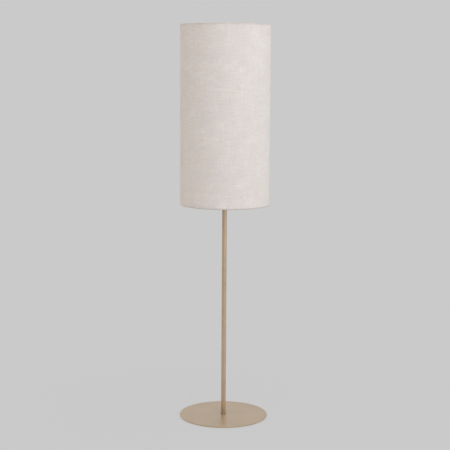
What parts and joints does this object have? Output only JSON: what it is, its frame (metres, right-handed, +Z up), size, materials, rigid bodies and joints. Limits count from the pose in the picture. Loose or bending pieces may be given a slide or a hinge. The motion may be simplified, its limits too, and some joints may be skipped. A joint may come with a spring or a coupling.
{
  "type": "floor lamp",
  "caption": "Column floor lamp: a tall linen cylinder shade on a slim round tube stem with a thin flat disc base.",
  "frame": {"origin": "on the floor, at the centre of the round base", "axes": "+Z up along the stem, -Y towards the front, with the cable entry and the shade's seam at the back (+Y)"},
  "size_m": [0.3, 0.3005, 1.332],
  "materials": {
    "champagne_coat": "satin champagne powder coat",
    "felt": "dark felt",
    "zinc": "bright zinc plate",
    "grommet_rubber": "dull moulded rubber",
    "holder_plastic": "black moulded phenolic",
    "core_ceramic": "unglazed steatite",
    "contact_brass": "rolled brass",
    "linen": "natural linen, plain weave with slubs",
    "shade_liner": "white matt shade film",
    "white_wire": "white powder coat",
    "opal_glass": "opal white glass",
    "clear_glass": "clear glass",
    "bulb_metal": "rolled nickel plate",
    "insulator_black": "black fused glass",
    "solder": "tinned",
    "board": "green board",
    "light_strip": "yellow phosphor"
  },
  "bodies": {
    "stand": {"base_plate": "champagne_coat", "floor_felt": "felt", "base_screw": "zinc", "stem_foot_insert": "zinc", "stem_lower_tube": "champagne_coat", "stem_joiner": "zinc", "stem_upper_tube": "champagne_coat", "stem_top_insert": "zinc", "cable_grommet": "grommet_rubber", "holder_nipple": "zinc", "holder_cap": "holder_plastic", "holder_grub_screw": "zinc", "holder_core": "core_ceramic", "terminal_screws": "contact_brass", "side_contact": "contact_brass", "centre_contact": "contact_brass", "screw_shell": "contact_brass", "holder_body": "holder_plastic", "lower_shade_ring": "holder_plastic", "upper_shade_ring": "holder_plastic"},
    "shade": {"shade_linen": "linen", "shade_lining": "shade_liner", "shade_top_wire": "white_wire", "shade_bottom_wire": "white_wire", "gallery_ring": "white_wire", "spider_arms": "white_wire"},
    "bulb": {"bulb_glass": "opal_glass", "bulb_cap": "bulb_metal", "bulb_insulator": "insulator_black", "bulb_tip": "solder", "bulb_driver": "board", "bulb_stem": "clear_glass", "bulb_light_strips": "light_strip"}
  },
  "joints": [
    {"name": "shade_turn", "type": "hinge", "parent": "stand", "child": "shade", "pos_m": [0, 0, 0.882], "axis": [0, 0, 1], "continuous": true},
    {"name": "bulb_unscrew", "type": "slide", "parent": "stand", "child": "bulb", "axis": [0, 0, 1], "range_m": [0, 0.06]}
  ]
}
